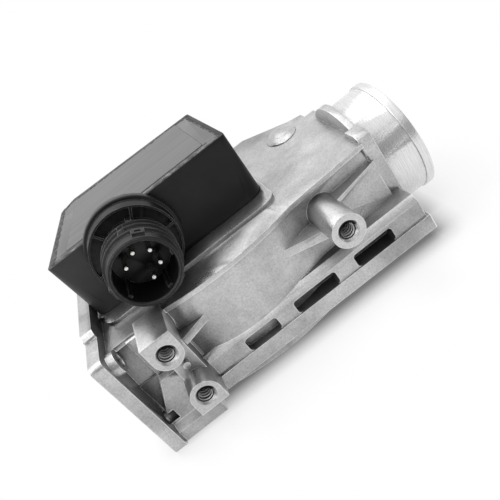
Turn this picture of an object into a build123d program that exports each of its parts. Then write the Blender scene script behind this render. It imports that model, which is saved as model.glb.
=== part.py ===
from build123d import *
import math
import os

# Vane air flow meter: a cast aluminium body with a rectangular inlet flange and a round outlet,
# a spring loaded flap inside, and a black moulded cover that holds the position track and the plug.
# Frame: X is the way the air flows, Z is up out of the cover, the bosses and the plug face -Y.
# The origin lies on the axis of the outlet tube, in the plane of the inlet flange.
# All sizes are in millimetres.

# How far cutters and roots run past the faces they meet
OVER = 1.0

# Levels of the casting
FLOOR_Z = -31.0
TOP_Z = 22.0
PLATE_THICKNESS = 3.0
WALL = 3.0
DUCT_FLOOR_Z = -22.0
DUCT_TOP_Z = TOP_Z - PLATE_THICKNESS

# Inlet flange
FLANGE_THICKNESS = 6.0
FLANGE_FRONT_Y = -53.5
FLANGE_BACK_Y = 52.5
FLANGE_TOP_Z = 27.0
FLANGE_CORNER = 3.0
FLANGE_CREST = 3.5
FLANGE_CREST_FRONT_Y = -33.0
FLANGE_CREST_BACK_Y = 26.0
FLANGE_CREST_CHAMFER = 2.0
FLANGE_HOLE_RADIUS = 3.3
FLANGE_HOLE_Y = 45.0
FLANGE_HOLE_Z = 18.0
FLANGE_BOSS_RADIUS = 5.6
FLANGE_BOSS_HEIGHT = 3.5

# Front wall of the air duct, as seen from above
WALL_FRONT_Y = -38.5
BULGE_START_X = 36.0
BULGE_APEX_X = 69.0
BULGE_APEX_Y = -42.0
BULGE_END_X = 102.0
BULGE_END_Y = -35.0
WALL_END_Y = -30.5
WALL_DRAFT = 3.0
WALL_DRAFT_DEPTH = 15.0
LIP = 2.0
LIP_HEIGHT = 2.2

# Back of the casting
BODY_BACK_Y = 61.0
BODY_INLET_BACK_Y = 36.0
BACK_START_X = 19.0
BACK_STEP_X = 50.0
BACK_CHAMFER_X = 112.0
BACK_SHOULDER_X = 136.0
BACK_SHOULDER_Y = 40.0
END_BACK_Y = 37.0

# Change from the rectangular duct to the round outlet
DUCT_END_X = 128.0
WAIST_X = 143.5
WAIST_RADIUS = 20.0
THROAT_X = 150.5
MOUTH_INSET = 0.8
MOUTH_CORNER = 3.0
MOUTH_OVERLAP = 2.0

# Bypass under the duct
BYPASS_Y = -5.5
BYPASS_WIDTH = 7.0
BYPASS_HEIGHT = 3.8
BYPASS_FLOOR = 2.5
BYPASS_Z = FLOOR_Z + BYPASS_FLOOR
BYPASS_END_X = 127.0
BYPASS_PORT = 4.0

# Weight saving pockets in the underside
UNDER_POCKETS_X = [(10, 48), (76, 104), (108, 138)]
UNDER_POCKETS_Y = [(-27, -9), (3, 27)]
UNDER_POCKET_DEPTH = 6.0
UNDER_POCKET_CORNER = 3.0

# Outlet end
END_PLATE_X = 141.5
END_PLATE_THICKNESS = 6.5
END_PLATE_FRONT_Y = -32.0
END_PLATE_CORNER = 5.0
TUBE_RADIUS = 28.5
TUBE_BORE_RADIUS = 24.5
TUBE_END_X = 167.5
BEAD_RADIUS = 29.3
BEAD_WIDTH = 4.2
BEAD_ROUNDING = 0.6
COLLAR_RADIUS = 31.3
COLLAR_WIDTH = 3.6
SHOULDER_HEIGHT = 3.5
SHOULDER_DEPTH = 6.0
SHOULDER_CHAMFER = (3.0, 1.5)
SHOULDER_TOP_WIDTH = 7.5
SHOULDER_FOOT_WIDTH = 15.5
BUMP_X = 126.6
BUMP_Y = 31.9
BUMP_LENGTH = 14.0
BUMP_WIDTH = 19.0
BUMP_HEIGHT = 2.4
BUMP_SLOPE = 40

# Threaded bosses
BOSS_FACE_Y = -60.5
BOSS_RADIUS = 7.3
THREAD_RADIUS = 3.4
THREAD_DEPTHS = [19.6, 20.6, 21.6]
THREAD_CHAMFER = 1.3
BLOCK_WIDTH = 13.8
BLOCK_TOP = 8.5
BOSS_1_X = 28.5
BOSS_1_Z = 15.5
BOSS_2_Z = -10.5
BOSS_3_X = 113.1
BOSS_3_Z = 9.2

# Web, toe, peg and gusset round the two bosses near the flange
COLUMN_FRONT_Y = -50.0
COLUMN_INSETS = (2.0, 1.0)
PEG_X = 29.5
PEG_Z = 1.5
PEG_FRONT_Y = -53.0
PEG_RADIUS = 1.6
GUSSET_FRONT_Y = -48.0
GUSSET_END_X = 58.0
GUSSET_LEVELS = (6.0, 9.5)
WEB_FRONT_Y = -42.5
WEB_SIDE_X = 15.2
WEB_FOOT_Z = -0.5
APRON_FRONT_Y = -41.5
TOE_FRONT_Y = -47.0
TOE_SIDE_Z = -20.0
TOE_STEP_Z = -22.0
TOE_FOOT_Z = -25.0
TOE_FOOT_Y = -50.0

# Foot, rib and fin of the boss near the outlet
SIDE_FOOT_Y = -42.0
SIDE_FOOT_FLARE = 0.9
SIDE_RIB_FRONT_Y = -44.0
SIDE_RIB_END_Y = -34.5
SIDE_RIB_LEVELS = (10.8, 13.2)
FIN_START_X = 81.0
FIN_START_Y = -36.5
FIN_END_X = 109.1
FIN_FRONT_Y = -49.0
FIN_BACK_Y = -33.0
FIN_LEVELS = (4.7, 8.7)

# Rail along the foot of the front wall
RAIL_FRONT_Y = -46.0
RAIL_START_X = 34.0
RAIL_END_X = 147.0
RAIL_RIDGE_Z = -9.0
RAIL_RIDGE_WIDTH = 3.5
RAIL_SHELF_Z = -6.5
RAIL_FOOT_Z = -25.0
RAIL_BAND_HEIGHT = 7.5
RAIL_BAND_STEP = 0.9
RAIL_BAND_OVERHANG = 1.5
POCKET_TOP_Z = -10.8
POCKET_DEPTH = 8.0
POCKET_CORNER = 1.6
POCKET_SPANS = [(52.3, 69.2), (78.5, 100.8), (110.8, 131.0)]

# Pivot of the flap
PIVOT_X = 62.0
PIVOT_Y = 12.0
SHAFT_RADIUS = 3.0
SHAFT_RUN_CLEARANCE = 0.04
SHAFT_FOOT_GAP = 2.0
SHAFT_FOOT_Z = FLOOR_Z + SHAFT_FOOT_GAP
SHAFT_TOP_Z = 48.0
SHAFT_CHAMFER = 0.5
BEARING_RADIUS = 5.0
BEARING_HEIGHT = 7.0
BEARING_STAND = 4.5
BEARING_TOP_Z = TOP_Z + BEARING_STAND
BEARING_WALL = 2.5
LOWER_PLUG_RADIUS = 7.5
LOWER_PLUG_SEAT = 1.6
LOWER_PLUG_SUNK = 0.3

# Flap
FLAP_REACH = 50.0
DAMPER_REACH = 44.0
FLAP_THICKNESS = 2.4
FLAP_CLEARANCE = 0.5
FLAP_HUB_RADIUS = 6.0
FLAP_RIB_THICKNESS = 2.0
FLAP_RIB_INSET = 9.0
FLAP_RIB_ON_BLADE = 34.0
FLAP_RIB_ON_DAMPER = 30.0
CHAMBER_CLEARANCE = 1.0
CHAMBER_RADIUS = DAMPER_REACH + CHAMBER_CLEARANCE
HUB_CLEARANCE_X = 2.0
HUB_CLEARANCE_Y = 3.0
CHAMBER_SIDE_X = FLAP_HUB_RADIUS + HUB_CLEARANCE_X
CHAMBER_SIDE_Y = FLAP_HUB_RADIUS + HUB_CLEARANCE_Y

# Cover of the electric side
COVER_FOOT_Z = 23.0
COVER_TOP_Z = 56.0
COVER_WALL = 1.8
COVER_FRONT_Y = -13.6
COVER_FRONT_LEFT_X = 5.6
COVER_FRONT_RIGHT_X = 99.8
COVER_BACK_RIGHT_X = 95.6
COVER_BACK_RIGHT_Y = 50.5
COVER_BACK_LEFT_X = 21.7
COVER_BACK_LEFT_Y = 56.5
COVER_CORNER_X = 13.5
COVER_CORNER_Y = 49.9
COVER_FOOT_CORNER = 7.5
COVER_TOP_CORNER = 1.6
COVER_INNER_CORNER = 0.5
LID_CORNER = 1.0
PANEL_THICKNESS = 1.6
PANEL_LEDGE_HEIGHT = 1.5
PANEL_LEDGE_WIDTH = 2.0
PANEL_LEDGE_ROOT = 0.5
SEALANT_WIDTH = 0.8
SEALANT_SUNK = 0.3
SLOT_WIDTH = 1.3
SLOT_DEPTH = 0.9
SLOT_INSETS = (8.0, 7.0)
PAD_MARGIN_FRONT = 11.6
PAD_MARGIN = 3.5
PAD_HEIGHT = 2.0
PAD_CORNER = 7.0
FOOT_CLEARANCE = 0.3

# Plug on the front of the cover
PLUG_X = 41.4
PLUG_Z = 41.5
PLUG_SHELL_RADIUS = 14.9
PLUG_BORE_RADIUS = 12.9
PLUG_WEB = 4.0
PLUG_RIM_Y = -45.5
PLUG_RIM_CHAMFER = 0.5
PLUG_FLOOR_Y = -26.0
PLUG_RIDGES = [-28.6, -33.0, -38.4]
PLUG_RIDGE_HEIGHT = 1.2
PLUG_RIDGE_WIDTH = 1.8
PLUG_BACK_STEP = 1.0
SPIGOT_STEP = 1.0
PRESS_CLEARANCE = 0.05
PLUG_BASE_Z = 43.0
PLUG_DISC_RADIUS = 21.4
PLUG_DISC_THICKNESS = 3.6
PLUG_DISC_ROUNDING = 0.8
PLUG_CUP_RADIUS = 19.8
PLUG_CUP_Y = -24.8
PLUG_CUP_RIM = 0.9
PLUG_CUP_DEPTH = 2.2
PLUG_RIB_COUNT = 6
PLUG_RIB_THICKNESS = 1.0
KEY_HEIGHT = 0.9
KEY_WIDTH = 2.0
KEY_SETBACK = 3.0
KEY_ANGLES = [205, 285, 355]

# Lugs between the ridges of the plug
LUG_TURNS = [0, 120, 240]
LUG_ROOT = 1.0
WEDGE_ANGLE = 69
WEDGE_HEIGHT = 1.6
WEDGE_WIDTH = 2.4
STEP_ANGLE = 84
STEP_HEIGHT = 1.1
STEP_WIDTH = 2.8
LOOP_ANGLE = 61
LOOP_HEIGHT = 1.0
LOOP_WIDTH = 5.2
LOOP_LENGTH = 4.2
LOOP_WINDOW_WIDTH = 2.8
LOOP_WINDOW_LENGTH = 2.0
LOOP_SETBACK = 1.0

# Pins of the plug
PIN_CIRCLE_RADIUS = 6.9
PIN_RADIUS = 1.15
PIN_TIP_Y = -38.5
PIN_TIP_ROUNDING = 0.7
PIN_TAIL_Y = -6.0
PIN_ANGLES = [90, 30, -30, 150, -90]

# Tension wheel, spring and clip
WHEEL_RADIUS = 19.0
WHEEL_LIFT = 5.0
WHEEL_Z = TOP_Z + WHEEL_LIFT
WHEEL_HEIGHT = 7.0
WHEEL_WEB = 2.0
WHEEL_RIM = 2.0
WHEEL_TEETH = 48
WHEEL_TOOTH_RADIUS = 0.7
WHEEL_BORE_CLEARANCE = 1.0
SPRING_TURNS = 4
SPRING_POINTS_PER_TURN = 12
SPRING_INNER_RADIUS = 6.6
SPRING_RIM_GAP = 3.0
SPRING_OUTER_RADIUS = WHEEL_RADIUS - SPRING_RIM_GAP
SPRING_THICKNESS = 0.5
SPRING_HEIGHT = 4.0
SPRING_LIFT = 2.5
COLLET_RADIUS = 6.3
COLLET_LIFT = 2.3
COLLET_HEIGHT = 4.5
CLIP_GAP = 0.3
CLIP_THICKNESS = 0.8
CLIP_LEAF_BACKSET = 4.0
CLIP_LEAF_Y = PIVOT_Y - CLIP_LEAF_BACKSET
CLIP_LEAF_LENGTH = 16.0
CLIP_HEIGHT = 4.0
CLIP_FOOT_LENGTH = 8.0
CLIP_FOOT_WIDTH = 8.0
CLIP_FOOT_THICKNESS = 1.0

# Track board with its posts and screws
BOARD_Z = 38.0
BOARD_THICKNESS = 1.5
BOARD_X = (42.0, 86.0)
BOARD_Y = (25.5, 46.0)
BOARD_HOLE_INSET = 3.0
BOARD_HOLE_RADIUS = 1.6
BOARD_POST_RADIUS = 3.2
SCREW_RADIUS = 1.25
SCREW_LENGTH = 6.0
SCREW_BORE_DEPTH = 8.0
SCREW_HEAD_RADIUS = 2.7
SCREW_HEAD_HEIGHT = 1.8
SCREW_SLOT_WIDTH = 0.6

# Wiper, counterweight and ring on the shaft
WIPER_RADIUS = 26.0
WIPER_REST_ANGLE = 50.0
WIPER_HUB_RADIUS = 6.5
WIPER_LIFT = 4.0
WIPER_Z = BOARD_Z + WIPER_LIFT
WIPER_HUB_BELOW = 6.0
WIPER_HUB_ABOVE = 4.0
WIPER_THICKNESS = 1.6
WIPER_ARM_WIDTH = 4.4
WIPER_TAIL_LENGTH = 13.0
WIPER_TAIL_WIDTH = 9.0
FINGER_RADII = [21.0, 25.0]
FINGER_WIDTH = 1.2
FINGER_LENGTH = 4.0
FINGER_GAP = 0.15
WEIGHT_OFFSET = 3.8
WEIGHT_RADIUS = 3.6
WEIGHT_HEIGHT = 4.0
RING_Z = WIPER_Z + WIPER_HUB_ABOVE
RING_RADIUS = 5.0
RING_THICKNESS = 0.8
RING_GAP = 1.6

# Moulded strip from the pins to the track board
STRIP_LIFT = 2.0
STRIP_Z = BOARD_Z + STRIP_LIFT
STRIP_THICKNESS = 1.5
STRIP_X = (27.0, 40.5)
STRIP_Y = (-5.9, 40.0)
STRIP_HEAD_WIDTH = 20.0
STRIP_HEAD_Y = (-8.5, -5.0)
STRIP_HEAD_HEIGHT = 6.0
STRIP_FOOT_X = (38.0, 44.0)
STRIP_FOOT_Y = (27.0, 37.0)
STRIP_SOCKET_DEPTH = 6.0
STRIP_POST = (31.0, 32.0)
STRIP_POST_RADIUS = 3.0

# Air temperature sensor
SENSOR_X = 16.0
SENSOR_Y = -10.0
SENSOR_HOLDER_RADIUS = 4.2
SENSOR_HOLDER_LENGTH = 6.0
SENSOR_BEAD_RADIUS = 1.6
SENSOR_LENGTH = 16.0


def block(x0, x1, y0, y1, z0, z1):
    """Box between two corners."""
    return Pos((x0 + x1) / 2, (y0 + y1) / 2, (z0 + z1) / 2) * Box(x1 - x0, y1 - y0, z1 - z0)


def rod_z(x, y, z0, z1, radius):
    """Upright round rod."""
    return Pos(x, y, (z0 + z1) / 2) * Cylinder(radius, z1 - z0)


def front_plane(x, y, z):
    """Plane square to Y that looks towards the back."""
    return Plane(origin=(x, y, z), x_dir=(1, 0, 0), z_dir=(0, 1, 0))


def flow_plane(x, y, z):
    """Plane square to the flow."""
    return Plane(origin=(x, y, z), x_dir=(0, 1, 0), z_dir=(1, 0, 0))


def rod_y(x, z, y0, y1, radius):
    """Round rod that runs front to back."""
    return extrude(front_plane(x, y0, z) * Circle(radius), y1 - y0, dir=(0, 1, 0))


def rod_x(y, z, x0, x1, radius):
    """Round rod along the flow."""
    return extrude(flow_plane(x0, y, z) * Circle(radius), x1 - x0, dir=(1, 0, 0))


def prism_z(points, z0, z1):
    """Upright prism on an outline given by its corners."""
    face = make_face(Polyline(*points, close=True))
    return Pos(0, 0, z0) * extrude(face, z1 - z0, dir=(0, 0, 1))


def prism_x(points, x0, x1):
    """Prism along the flow; the corners are (y, z) pairs."""
    corners = [(x0, y, z) for y, z in points]
    return extrude(make_face(Polyline(*corners, close=True)), x1 - x0, dir=(1, 0, 0))


def prism_y(points, y0, y1):
    """Prism that runs front to back; the corners are (x, z) pairs."""
    corners = [(x, y0, z) for x, z in points]
    return extrude(make_face(Polyline(*corners, close=True)), y1 - y0, dir=(0, 1, 0))


def front_wall(offset, start_x, end_x):
    """Outline of the bulged front wall, moved inwards by an offset."""
    first = Line((start_x, WALL_FRONT_Y + offset), (BULGE_START_X, WALL_FRONT_Y + offset))
    bulge = ThreePointArc(
        (BULGE_START_X, WALL_FRONT_Y + offset),
        (BULGE_APEX_X, BULGE_APEX_Y + offset),
        (BULGE_END_X, BULGE_END_Y + offset),
    )
    last = Line((BULGE_END_X, BULGE_END_Y + offset), (end_x, WALL_END_Y + offset))
    return [first, bulge, last]


def drafted_wall():
    """The front wall leans out towards its foot, so that the casting leaves its die."""
    start_x = FLANGE_THICKNESS - OVER
    end_x = END_PLATE_X + OVER
    back_y = WALL_FRONT_Y + WALL_DRAFT_DEPTH
    faces = []
    for draft, z in ((-WALL_DRAFT, RAIL_SHELF_Z - 2 * OVER), (0, TOP_Z - LIP_HEIGHT / 2)):
        edges = front_wall(draft, start_x, end_x)
        edges.append(
            Polyline(
                (end_x, WALL_END_Y + draft), (end_x, back_y), (start_x, back_y),
                (start_x, WALL_FRONT_Y + draft),
            )
        )
        faces.append(Pos(0, 0, z) * make_face(edges))
    return loft(faces, ruled=True)


def body_outline(offset):
    """Plan of the casting between the flange and the end plate."""
    start_x = FLANGE_THICKNESS - OVER
    end_x = END_PLATE_X + OVER
    edges = front_wall(offset, start_x, end_x)
    edges.append(
        Polyline(
            (end_x, WALL_END_Y + offset),
            (end_x, END_BACK_Y - offset),
            (BACK_SHOULDER_X, BACK_SHOULDER_Y - offset),
            (BACK_CHAMFER_X, BODY_BACK_Y - offset),
            (BACK_STEP_X, BODY_BACK_Y - offset),
            (BACK_START_X, BODY_INLET_BACK_Y - offset),
            (start_x, BODY_INLET_BACK_Y - offset),
            (start_x, WALL_FRONT_Y + offset),
        )
    )
    return make_face(edges)


def cover_points():
    """Corners of the cover seen from above, front right first."""
    return [
        (COVER_FRONT_RIGHT_X, COVER_FRONT_Y),
        (COVER_BACK_RIGHT_X, COVER_BACK_RIGHT_Y),
        (COVER_BACK_LEFT_X, COVER_BACK_LEFT_Y),
        (COVER_CORNER_X, COVER_CORNER_Y),
        (COVER_FRONT_LEFT_X, COVER_FRONT_Y),
    ]


def cover_plan(inset, radius):
    """Plan of the cover, shrunk by an inset, with rounded corners."""
    face = make_face(Polyline(*cover_points(), close=True))
    if inset:
        face = offset(face, -inset, kind=Kind.INTERSECTION)
    return fillet(face.vertices(), radius)


def lid_slab(inset, low, high):
    """Upright slab with the outline of the lid."""
    return Pos(0, 0, low) * extrude(cover_plan(inset, LID_CORNER), high - low, dir=(0, 0, 1))


def cover_body(inset, low, high):
    """Body of the cover; its corners open from nearly sharp at the top to round at the foot."""
    foot = Pos(0, 0, low) * cover_plan(inset, COVER_FOOT_CORNER - inset)
    top = Pos(0, 0, high) * cover_plan(inset, max(COVER_TOP_CORNER - inset, COVER_INNER_CORNER))
    return loft([foot, top], ruled=True)


def threaded_bore(x, z, depth):
    """Cutter for one threaded bore with its countersink."""
    hole = rod_y(x, z, BOSS_FACE_Y, BOSS_FACE_Y + depth, THREAD_RADIUS)
    cone = front_plane(x, BOSS_FACE_Y + THREAD_CHAMFER / 2, z) * Cone(
        THREAD_RADIUS + THREAD_CHAMFER, THREAD_RADIUS, THREAD_CHAMFER
    )
    return hole + cone


def inlet_flange():
    plate = block(0, FLANGE_THICKNESS, FLANGE_FRONT_Y, FLANGE_BACK_Y, FLOOR_Z, FLANGE_TOP_Z)
    plate = fillet(plate.edges().filter_by(Axis.X), FLANGE_CORNER)
    crest = block(
        0, FLANGE_THICKNESS, FLANGE_CREST_FRONT_Y, FLANGE_CREST_BACK_Y,
        FLANGE_TOP_Z - 2 * OVER, FLANGE_TOP_Z + FLANGE_CREST,
    )
    crest = chamfer(crest.edges().filter_by(Axis.X).group_by(Axis.Z)[-1], FLANGE_CREST_CHAMFER)
    plate += crest
    for y, z in flange_hole_places():
        runs_into_toe = y < 0 and z < 0
        if not runs_into_toe:
            plate += rod_x(y, z, OVER, FLANGE_THICKNESS + FLANGE_BOSS_HEIGHT, FLANGE_BOSS_RADIUS)
    return plate


def flange_hole_places():
    """Centres of the four screw holes of the inlet flange."""
    return [(y, z) for y in (-FLANGE_HOLE_Y, FLANGE_HOLE_Y) for z in (-FLANGE_HOLE_Z, FLANGE_HOLE_Z)]


def front_bosses():
    half = BLOCK_WIDTH / 2
    root_y = WALL_FRONT_Y + OVER
    left_x = BOSS_1_X - half
    right_x = BOSS_1_X + half
    upper = block(left_x, right_x, BOSS_FACE_Y, root_y, BOSS_1_Z, BOSS_1_Z + BLOCK_TOP)
    upper += rod_y(BOSS_1_X, BOSS_1_Z, BOSS_FACE_Y, root_y, half)
    lower = block(left_x, right_x, BOSS_FACE_Y, root_y, BOSS_2_Z - half, BOSS_2_Z)
    lower += rod_y(BOSS_1_X, BOSS_2_Z, BOSS_FACE_Y, root_y, half)
    column = block(
        left_x + COLUMN_INSETS[0], right_x - COLUMN_INSETS[1], COLUMN_FRONT_Y, root_y, BOSS_2_Z, BOSS_1_Z
    )
    peg = rod_y(PEG_X, PEG_Z, PEG_FRONT_Y, COLUMN_FRONT_Y + OVER, PEG_RADIUS)
    gusset_x = right_x - 2 * OVER
    gusset = prism_z(
        [(gusset_x, GUSSET_FRONT_Y), (gusset_x, root_y), (GUSSET_END_X, root_y)], *GUSSET_LEVELS
    )
    web = block(WEB_SIDE_X, BOSS_1_X, WEB_FRONT_Y, root_y, WEB_FOOT_Z, TOP_Z - OVER)
    flange_x = FLANGE_THICKNESS - OVER
    toe = prism_y(
        [(WEB_SIDE_X, WEB_FOOT_Z), (flange_x, TOE_SIDE_Z), (flange_x, FLOOR_Z),
         (BOSS_1_X, FLOOR_Z), (BOSS_1_X, WEB_FOOT_Z)],
        TOE_FRONT_Y, root_y,
    )
    toe += prism_x(
        [(root_y, FLOOR_Z), (TOE_FOOT_Y, FLOOR_Z), (TOE_FOOT_Y, TOE_FOOT_Z), (TOE_FRONT_Y, TOE_STEP_Z),
         (root_y, TOE_STEP_Z)],
        flange_x, BOSS_1_X,
    )
    apron = block(flange_x, BOSS_1_X, APRON_FRONT_Y, root_y, FLOOR_Z, WEB_FOOT_Z + OVER)
    return upper + lower + column + peg + gusset + web + apron + toe


def side_boss():
    root_y = WALL_END_Y + 2 * OVER
    end_x = END_PLATE_X + OVER
    boss = rod_y(BOSS_3_X, BOSS_3_Z, BOSS_FACE_Y, root_y, BOSS_RADIUS)
    foot = front_plane(BOSS_3_X, (root_y + SIDE_FOOT_Y) / 2, BOSS_3_Z) * Cone(
        BOSS_RADIUS, BOSS_RADIUS + SIDE_FOOT_FLARE, root_y - SIDE_FOOT_Y
    )
    rib = prism_z(
        [(BOSS_3_X, SIDE_RIB_FRONT_Y), (end_x, SIDE_RIB_END_Y), (end_x, root_y), (BOSS_3_X, root_y)],
        *SIDE_RIB_LEVELS,
    )
    fin = prism_z(
        [(FIN_END_X, FIN_FRONT_Y), (FIN_END_X, FIN_BACK_Y), (FIN_START_X, FIN_START_Y)], *FIN_LEVELS
    )
    return boss + foot + rib + fin


def rail():
    back_y = WALL_END_Y + OVER
    pocket_low = RAIL_FOOT_Z + RAIL_BAND_HEIGHT
    profile = [
        (back_y, RAIL_SHELF_Z), (RAIL_FRONT_Y + RAIL_RIDGE_WIDTH, RAIL_SHELF_Z),
        (RAIL_FRONT_Y, RAIL_RIDGE_Z), (RAIL_FRONT_Y, RAIL_FOOT_Z), (back_y, RAIL_FOOT_Z),
    ]
    bar = prism_x(profile, RAIL_START_X, RAIL_END_X)
    bar += block(
        RAIL_START_X, RAIL_END_X + RAIL_BAND_OVERHANG, RAIL_FRONT_Y - RAIL_BAND_STEP, back_y,
        RAIL_FOOT_Z, pocket_low,
    )
    for start, end in POCKET_SPANS:
        pocket = block(
            start, end, RAIL_FRONT_Y - 2 * OVER, RAIL_FRONT_Y + POCKET_DEPTH, pocket_low, POCKET_TOP_Z
        )
        bar -= fillet(pocket.edges().filter_by(Axis.Y), POCKET_CORNER)
    return bar


def outlet():
    collar_end = END_PLATE_X + END_PLATE_THICKNESS
    plate = block(END_PLATE_X, collar_end, END_PLATE_FRONT_Y, END_BACK_Y, FLOOR_Z, TOP_Z)
    plate = fillet(plate.edges().filter_by(Axis.X).group_by(Axis.Z)[-1], END_PLATE_CORNER)
    collar = rod_x(0, 0, collar_end - COLLAR_WIDTH, collar_end, COLLAR_RADIUS)
    collar &= block(END_PLATE_X, collar_end, -COLLAR_RADIUS, COLLAR_RADIUS, FLOOR_Z, COLLAR_RADIUS)
    front_y = END_PLATE_FRONT_Y
    top_z = TOP_Z + SHOULDER_HEIGHT
    shoulder = prism_x(
        [(front_y, TOP_Z - SHOULDER_DEPTH), (front_y, top_z - SHOULDER_CHAMFER[1]),
         (front_y + SHOULDER_CHAMFER[0], top_z),
         (front_y + SHOULDER_CHAMFER[0] + SHOULDER_TOP_WIDTH, top_z),
         (front_y + SHOULDER_FOOT_WIDTH, TOP_Z), (front_y + SHOULDER_FOOT_WIDTH, TOP_Z - SHOULDER_DEPTH)],
        END_PLATE_X, collar_end,
    )
    tube = rod_x(0, 0, collar_end - OVER, TUBE_END_X, TUBE_RADIUS)
    bead = rod_x(0, 0, TUBE_END_X - BEAD_WIDTH, TUBE_END_X, BEAD_RADIUS)
    bead = fillet(bead.edges().filter_by(GeomType.CIRCLE), BEAD_ROUNDING)
    return plate + collar + shoulder + tube + bead


def cover_pad():
    """Raised pad round the foot of the cover, with a groove that takes the cover's edge."""
    front_y = COVER_FRONT_Y - PAD_MARGIN_FRONT
    plan = make_face(
        Polyline(
            (COVER_FRONT_RIGHT_X + PAD_MARGIN / 2, front_y),
            (COVER_BACK_RIGHT_X + PAD_MARGIN, COVER_BACK_RIGHT_Y + PAD_MARGIN),
            (COVER_BACK_LEFT_X, COVER_BACK_LEFT_Y + PAD_MARGIN),
            (COVER_CORNER_X - PAD_MARGIN, COVER_CORNER_Y + PAD_MARGIN / 2),
            (COVER_FRONT_LEFT_X + PAD_MARGIN, front_y),
            close=True,
        )
    )
    plan = fillet(plan.vertices(), PAD_CORNER)
    pad = Pos(0, 0, TOP_Z) * extrude(plan, PAD_HEIGHT, dir=(0, 0, 1))
    under_cover = cover_plan(-PAD_MARGIN / 2, COVER_FOOT_CORNER)
    pad += Pos(0, 0, TOP_Z) * extrude(under_cover, PAD_HEIGHT, dir=(0, 0, 1))
    pad -= block(
        -PAD_MARGIN, FLANGE_THICKNESS, FLANGE_FRONT_Y, BODY_BACK_Y, TOP_Z - OVER, TOP_Z + PAD_HEIGHT + OVER
    )
    groove = extrude(cover_plan(-FOOT_CLEARANCE, COVER_FOOT_CORNER), PAD_HEIGHT, dir=(0, 0, 1))
    inner = COVER_WALL + FOOT_CLEARANCE
    groove -= extrude(cover_plan(inner, COVER_FOOT_CORNER - inner), PAD_HEIGHT, dir=(0, 0, 1))
    return pad - Pos(0, 0, COVER_FOOT_Z) * groove


def duct():
    """Air space: rectangular duct, damper chamber and the change to the round outlet."""
    height = DUCT_TOP_Z - DUCT_FLOOR_Z
    back_y = WALL_END_Y + WALL
    inside = front_wall(WALL, -OVER, DUCT_END_X)
    inside.append(
        Polyline(
            (DUCT_END_X, back_y), (DUCT_END_X, PIVOT_Y), (-OVER, PIVOT_Y), (-OVER, WALL_FRONT_Y + WALL)
        )
    )
    space = Pos(0, 0, DUCT_FLOOR_Z) * extrude(make_face(inside), height, dir=(0, 0, 1))
    chamber = rod_z(PIVOT_X, PIVOT_Y, DUCT_FLOOR_Z, DUCT_TOP_Z, CHAMBER_RADIUS)
    chamber &= block(
        PIVOT_X - CHAMBER_SIDE_X, PIVOT_X + CHAMBER_RADIUS + OVER,
        PIVOT_Y - CHAMBER_SIDE_Y, PIVOT_Y + CHAMBER_RADIUS + OVER, DUCT_FLOOR_Z, DUCT_TOP_Z,
    )
    mouth = flow_plane(
        DUCT_END_X - MOUTH_OVERLAP, (back_y + PIVOT_Y) / 2, (DUCT_TOP_Z + DUCT_FLOOR_Z) / 2
    ) * RectangleRounded(PIVOT_Y - back_y - 2 * MOUTH_INSET, height - 2 * MOUTH_INSET, MOUTH_CORNER)
    waist = flow_plane(WAIST_X, 0, 0) * Circle(WAIST_RADIUS)
    throat = flow_plane(THROAT_X, 0, 0) * Circle(TUBE_BORE_RADIUS)
    change = loft([mouth, waist]) + loft([waist, throat])
    bore = rod_x(0, 0, THROAT_X, TUBE_END_X + OVER, TUBE_BORE_RADIUS)
    return space + chamber + change + bore


def bypass():
    """Channel under the duct that lets some air pass the flap, with its port to the duct."""
    back_y = BYPASS_Y + BYPASS_WIDTH
    channel = block(-OVER, BYPASS_END_X, BYPASS_Y, back_y, BYPASS_Z, BYPASS_Z + BYPASS_HEIGHT)
    return channel + block(
        BYPASS_END_X - BYPASS_PORT, BYPASS_END_X, BYPASS_Y, back_y, BYPASS_Z, DUCT_FLOOR_Z + OVER
    )


def underside_pockets():
    """Cutters for the pockets that open at the bottom of the casting."""
    cuts = []
    for x0, x1 in UNDER_POCKETS_X:
        for y0, y1 in UNDER_POCKETS_Y:
            pocket = block(x0, x1, y0, y1, FLOOR_Z - OVER, FLOOR_Z + UNDER_POCKET_DEPTH)
            cuts.append(fillet(pocket.edges().filter_by(Axis.Z), UNDER_POCKET_CORNER))
    return cuts


def board_posts():
    """Places of the posts that carry the track board."""
    y = BOARD_Y[1] - BOARD_HOLE_INSET
    return [(BOARD_X[0] + BOARD_HOLE_INSET, y), (BOARD_X[1] - BOARD_HOLE_INSET, y)]


def housing_towers():
    """What stands on the top plate under the cover."""
    towers = [rod_z(PIVOT_X, PIVOT_Y, TOP_Z, WHEEL_Z, BEARING_RADIUS + BEARING_WALL)]
    for x, y in board_posts():
        towers.append(rod_z(x, y, TOP_Z, BOARD_Z, BOARD_POST_RADIUS))
    towers.append(rod_z(*STRIP_POST, TOP_Z, STRIP_Z, STRIP_POST_RADIUS))
    return towers


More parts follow.
